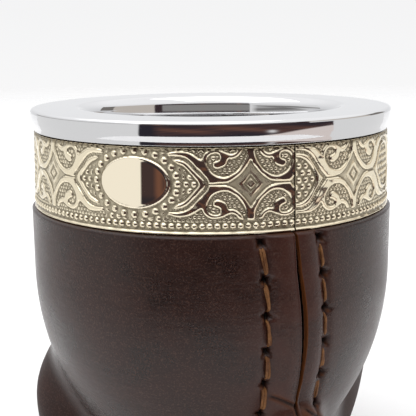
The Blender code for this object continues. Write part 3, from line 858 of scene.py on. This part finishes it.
def band_material():
    """Champagne alloy, duller on its low ground, darker in the grooves, with painted shade under the rim,
    and bright on the plate.
    """
    material, tree, shader = new_material("champagne_alloy")
    groove_and_rim_shade = make(tree, "ShaderNodeAttribute", attribute_name="groove_and_rim_shade").outputs["Fac"]
    polished = make(tree, "ShaderNodeAttribute", attribute_name="polished").outputs["Fac"]
    relief = make(tree, "ShaderNodeAttribute", attribute_name="relief").outputs["Fac"]
    low = remap(tree, relief, 0.06, 0.19, 1.0, 0.0)
    worn = mix_colours(tree, low, CHAMPAGNE, CHAMPAGNE_GROUND)
    bright = mix_colours(tree, polished, worn, CHAMPAGNE_BRIGHT)
    # Darker in the grooves, with painted shade under the rim.
    groove_rim_darkening = remap(tree, groove_and_rim_shade, 0.1, 0.9, 0.0, 0.8)
    tree.links.new(mix_colours(tree, groove_rim_darkening, bright, GROOVE_DARK_AND_SHADE), shader.inputs["Base Color"])
    polish = make(tree, "ShaderNodeGroup", node_tree=hand_polish)
    polish.inputs["Low"].default_value = 0.08
    polish.inputs["High"].default_value = 0.14
    smoother = remap(tree, polished, 0.0, 1.0, 1.0, 0.3)
    gloss = make(tree, "ShaderNodeMath", {0: polish.outputs["Gloss"], 1: smoother},
                 operation="MULTIPLY").outputs[0]
    shade = make(tree, "ShaderNodeMath", {0: 1.0, 1: polished}, operation="SUBTRACT").outputs[0]
    dull = make(tree, "ShaderNodeMath", {0: low, 1: shade}, operation="MULTIPLY").outputs[0]
    tree.links.new(remap(tree, dull, 0.0, 1.0, 1.0, 0.38), shader.inputs["Metallic"])
    rough = make(tree, "ShaderNodeMath", {0: dull, 1: 0.22, 2: gloss}, operation="MULTIPLY_ADD")
    tree.links.new(rough.outputs[0], shader.inputs["Roughness"])
    return material


band = make_band_mesh()
band.data.materials.append(band_material())
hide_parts("band")
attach(band, "root")


# The rim is turned and polished steel. It lies flat on the cup's mouth, its lip is rolled over the
# inside, a collar goes down the mouth, and a short skirt draws in over the top of the band.
RIM_STEPS = 256
RIM_TOP = 98.0 * MM
RIM_RADIUS = 45.0 * MM
RIM_BOTTOM = 92.8 * MM
RIM_EDGE = 0.8 * MM
RIM_UNDER = 96.5 * MM
RIM_INSIDE = 43.45 * MM
MOUTH_RADIUS = 31.2 * MM
COLLAR_THICKNESS = 1.2 * MM
COLLAR_BOTTOM = 84.0 * MM
LIP_ROUNDING = 2.8 * MM
STEEL = (0.66, 0.66, 0.668)
# How much a wall leans inwards, in degrees, at a depth in mm below its rounded top.
COLLAR_LEAN = ((0.0, 8.0), (0.7, 7.0), (1.4, 5.8), (2.0, 4.8), (2.3, 4.0), (2.6, 2.0), (3.4, 1.5),
               (6.4, 0.0))
SKIRT_LEAN = ((0.0, 3.0), (1.0, 5.0), (2.1, 10.0), (2.5, 17.0), (3.4, 19.0), (3.7, 14.0), (3.9, 8.0),
              (4.3, 4.0))


def arc(middle_r, middle_z, radius, start, end, count):
    """Points along an arc, from one angle in degrees to another."""
    turns = np.radians(np.linspace(start, end, count))
    return [(middle_r + radius * math.cos(turn), middle_z + radius * math.sin(turn)) for turn in turns]


def leaning_wall(radius, top, lean, step=0.1):
    """Points down a wall that leans inwards by an amount that changes with the depth."""
    depths, slopes = zip(*lean)
    inward = 0.0
    points = []
    for depth in np.arange(step, depths[-1], step):
        inward += step * math.tan(math.radians(np.interp(depth, depths, slopes)))
        points.append((radius - inward * MM, top - depth * MM))
    return points


def rim_profile():
    """Up the inside of the collar, over the lip, across the top and down the skirt."""
    collar = leaning_wall(MOUTH_RADIUS, RIM_TOP - LIP_ROUNDING, COLLAR_LEAN)
    profile = [(collar[-1][0], COLLAR_BOTTOM)] + collar[::-1]
    profile += arc(MOUTH_RADIUS + LIP_ROUNDING, RIM_TOP - LIP_ROUNDING, LIP_ROUNDING, 172.0, 90.0, 10)
    flat = np.linspace(MOUTH_RADIUS + LIP_ROUNDING + 0.4 * MM, RIM_RADIUS - RIM_EDGE - 0.2 * MM, 8)
    profile += [(radius, RIM_TOP) for radius in flat]
    profile += arc(RIM_RADIUS - RIM_EDGE, RIM_TOP - RIM_EDGE, RIM_EDGE, 90.0, -3.0, 9)
    profile += leaning_wall(RIM_RADIUS, RIM_TOP - RIM_EDGE, SKIRT_LEAN)
    radius = profile[-1][0]
    profile += arc(radius - 0.15 * MM, RIM_BOTTOM + 0.15 * MM, 0.15 * MM, -10.0, -90.0, 4)
    collar_back = MOUTH_RADIUS + COLLAR_THICKNESS
    profile += [(RIM_INSIDE, RIM_BOTTOM), (RIM_INSIDE, RIM_UNDER), (collar_back, RIM_UNDER),
                (collar_back, COLLAR_BOTTOM)]
    return profile


def steel_material():
    """Polished steel with faint smudges."""
    material, tree, shader = new_material("polished_steel")
    shader.inputs["Metallic"].default_value = 1.0
    shader.inputs["Base Color"].default_value = (*STEEL, 1.0)
    polish = make(tree, "ShaderNodeGroup", node_tree=hand_polish)
    polish.inputs["Low"].default_value = 0.03
    polish.inputs["High"].default_value = 0.07
    tree.links.new(polish.outputs["Gloss"], shader.inputs["Roughness"])
    return material


rim = turned("steel_rim", rim_profile(), RIM_STEPS, True)
rim.data.materials.append(steel_material())
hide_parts("rim")
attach(rim, "root")


# The table is plain and pale, and the light is soft and white from all sides. A glowing dark cloth in
# front, hidden from the camera, makes the dark reflections in the metal and shades the leather. It is
# staging and no part of the cup, and the materials were set with it in place.
FLOOR_SIZE = 6.0
FLOOR_SOLID = 0.5
FLOOR_GONE = 1.8
ROOM_LOW = (0.90, 0.905, 0.92)
ROOM_HIGH = (1.25, 1.25, 1.26)
BACKDROP_LOW = (0.985, 0.985, 0.985)
BACKDROP_HIGH = (0.905, 0.905, 0.91)
TABLE_WHITE = (0.95, 0.95, 0.95)
TABLE_PAINT = (0.90, 0.90, 0.90)
SOFTBOX_SIZE = 1.15
SOFTBOX_ENERGY = 4.2
SOFTBOX_PLACE = (-0.2, -0.1, 0.9)
CLOTH_NEAR = 0.17
CLOTH_FAR = 0.62
CLOTH_HEIGHT = 0.34
CLOTH_SPREAD = 135.0
CLOTH_LEFT = -42.0
CLOTH_RIGHT = 76.0
WALL_RIGHT = 59.0
CLOTH_STRIPE = -30.5
CLOTH_BEIGE = (0.70, 0.64, 0.58)
CLOTH_NAVY = (0.032, 0.028, 0.038)
CLOTH_BROWN = (0.17, 0.082, 0.060)
CLOTH_GREY = (0.33, 0.32, 0.31)
CLOTH_DUSK = (0.13, 0.12, 0.115)
CLOTH_PALE = (0.90, 0.80, 0.76)


def floor_material():
    """Matt pale paint that fades away far from the cup."""
    material, tree, shader = new_material("pale_table")
    shader.inputs["Base Color"].default_value = (*TABLE_PAINT, 1.0)
    shader.inputs["Roughness"].default_value = 0.9
    where = make(tree, "ShaderNodeTexCoord").outputs["Object"]
    away = make(tree, "ShaderNodeVectorMath", {0: where}, operation="LENGTH").outputs["Value"]
    tree.links.new(remap(tree, away, FLOOR_SOLID, FLOOR_GONE, 1.0, 0.0), shader.inputs["Alpha"])
    return material


def make_floor():
    """The flat table top under the cup."""
    corner = FLOOR_SIZE / 2.0
    mesh = bpy.data.meshes.new("table")
    mesh.from_pydata([(-corner, -corner, 0.0), (corner, -corner, 0.0), (corner, corner, 0.0),
                      (-corner, corner, 0.0)], [], [(0, 1, 2, 3)])
    table = bpy.data.objects.new("table", mesh)
    bpy.context.scene.collection.objects.link(table)
    mesh.materials.append(floor_material())


def cloth_colours(angle, run, rise):
    """Navy with brown streaks and three stripes, a grey band high up, and pale beyond its two sides.

    They are placed for how the rim and the plate mirror them in the front view.
    """
    turn = np.radians(angle)
    wavy = 0.62 + 0.24 * np.sin(turn * 9.0 + run * 30.0) + 0.14 * np.sin(turn * 23.0 - run * 85.0)
    streaks = hump(run - 0.36 - 0.03 * np.sin(turn * 5.0), 0.10) * wavy * 1.15
    streaks = streaks * np.clip((angle - CLOTH_LEFT - 8.0) / 6.0, 0.0, 1.0)
    stripes = np.maximum(hump(angle - CLOTH_STRIPE, 2.9), 0.6 * hump(angle - 8.0, 5.0))
    stripes = np.maximum(np.maximum(stripes, 0.5 * hump(angle - 31.0, 4.0)), 0.17)
    brown = np.where(rise > 0.0, stripes, streaks)
    grey = np.clip((rise - 0.150) / 0.012, 0.0, 1.0) * np.clip((0.235 - rise) / 0.02, 0.0, 1.0)
    grey = grey * (angle < 50.0)
    near = CLOTH_NEAR + 0.28 * np.clip((angle - 25.0) / 50.0, 0.0, 1.0)
    pale = np.clip((near - run) / 0.03, 0.0, 1.0)
    # A small bright spot on the glowing cloth, which the rim mirrors as a glint.
    spark = hump(angle - 35.0, 2.6) * hump(run - 0.30, 0.035)
    edge = np.where(rise > 0.0, WALL_RIGHT, CLOTH_RIGHT)
    beyond = (angle < CLOTH_LEFT) | (angle > edge)
    high_right = beyond * (angle > 0.0) * np.clip((rise - 0.12) / 0.02, 0.0, 1.0)
    high_left = beyond * (angle < 0.0) * hump(rise - 0.17, 0.028) * np.clip((-43.0 - angle) / 8.0, 0.0, 0.9)
    high_left = np.maximum(high_left, 0.8 * (angle > 112.0) * (rise > 0.12))
    colour = np.broadcast_to(np.array(CLOTH_NAVY), np.broadcast(angle, run).shape + (3,))
    for share, tone in ((brown, CLOTH_BROWN), (grey, CLOTH_GREY), (pale, CLOTH_PALE), (spark, TABLE_WHITE),
                        (beyond, TABLE_WHITE), (high_right, CLOTH_BEIGE), (high_left, CLOTH_DUSK)):
        share = np.broadcast_to(np.clip(share, 0.0, 1.0), colour.shape[:2])[..., None]
        colour = colour + (np.array(tone) - colour) * share
    return colour


def make_cloth():
    """A dark cloth on the table in front, turned up at its far edge. Only reflections show it.

    It is clear from below and from outside, so that it takes no light from the table under it.
    """
    angle = np.linspace(-CLOTH_SPREAD, CLOTH_SPREAD, 280)[None, :]
    run = np.concatenate([np.linspace(CLOTH_NEAR, CLOTH_FAR, 40), np.full(34, CLOTH_FAR)])[:, None]
    rise = np.concatenate([np.zeros(40), np.linspace(0.004, CLOTH_HEIGHT, 34)])[:, None]
    card = loft("dark_cloth", on_circle(angle - 90.0, run, rise + 0.002), False, False)
    colour = cloth_colours(angle, run, rise)
    flat = np.concatenate([colour, np.ones(colour.shape[:2] + (1,))], axis=-1).ravel()
    card.data.attributes.new("cloth_colour", "FLOAT_COLOR", "POINT").data.foreach_set("color", flat)
    material, tree, shader = new_material("dark_cloth")
    tone = make(tree, "ShaderNodeAttribute", attribute_name="cloth_colour").outputs["Color"]
    glow = make(tree, "ShaderNodeEmission", {"Color": tone, "Strength": 1.0}).outputs[0]
    clear = make(tree, "ShaderNodeBsdfTransparent").outputs[0]
    inner_side = make(tree, "ShaderNodeNewGeometry").outputs["Backfacing"]
    one_sided = make(tree, "ShaderNodeMixShader", {0: inner_side, 1: clear, 2: glow}).outputs[0]
    tree.links.new(one_sided, tree.nodes["Material Output"].inputs["Surface"])
    card.data.materials.append(material)
    card.visible_camera = False


def make_lights():
    """A white room round the cup, with a backdrop for the camera, and one softbox overhead."""
    world = bpy.data.worlds.new("white_room")
    bpy.context.scene.world = world
    world.use_nodes = True
    tree = world.node_tree
    background = tree.nodes["Background"]
    way = make(tree, "ShaderNodeTexCoord").outputs["Generated"]
    rise = make(tree, "ShaderNodeSeparateXYZ", {"Vector": way}).outputs["Z"]
    room = mix_colours(tree, remap(tree, rise, 0.15, 0.6), ROOM_LOW, ROOM_HIGH)
    backdrop = mix_colours(tree, remap(tree, rise, -0.22, 0.03), BACKDROP_LOW, BACKDROP_HIGH)
    seen = make(tree, "ShaderNodeLightPath").outputs["Is Camera Ray"]
    tree.links.new(mix_colours(tree, seen, room, backdrop), background.inputs["Color"])
    lamp = bpy.data.lights.new("overhead_softbox", "AREA")
    lamp.size = SOFTBOX_SIZE
    lamp.energy = SOFTBOX_ENERGY
    softbox = bpy.data.objects.new("overhead_softbox", lamp)
    softbox.location = SOFTBOX_PLACE
    softbox.rotation_euler = (math.radians(6.0), math.radians(-12.0), 0.0)
    bpy.context.scene.collection.objects.link(softbox)
    bpy.context.scene.view_settings.view_transform = "Standard"


make_floor()
make_cloth()
make_lights()


# The camera stands a little above the rim and looks down on the cup. Its focal length in image
# widths, its height, tilt and roll are those that put the rim and the band where the photo has them.
CAMERA_PLACE = (-0.8 * MM, -219.3 * MM, 115.26 * MM)
CAMERA_DOWN = 11.35
CAMERA_ROLL = -0.51
FOCAL_PIXELS = 858.73
IMAGE_PIXELS = 416.0
AXIS_ABOVE_MIDDLE = 0.69


def make_camera():
    """The front camera, tilted down and rolled a little."""
    lens = bpy.data.cameras.new("front_camera")
    lens.sensor_width = 36.0
    lens.lens = lens.sensor_width * FOCAL_PIXELS / IMAGE_PIXELS
    lens.shift_y = -AXIS_ABOVE_MIDDLE / IMAGE_PIXELS
    lens.clip_start = 0.01
    camera = bpy.data.objects.new("front_camera", lens)
    tilt = Euler((math.radians(90.0 - CAMERA_DOWN), 0.0, 0.0)).to_matrix()
    turn = tilt @ Matrix.Rotation(math.radians(CAMERA_ROLL), 3, "Z")
    camera.matrix_world = Matrix.Translation(CAMERA_PLACE) @ turn.to_4x4()
    bpy.context.scene.collection.objects.link(camera)
    bpy.context.scene.camera = camera


make_camera()
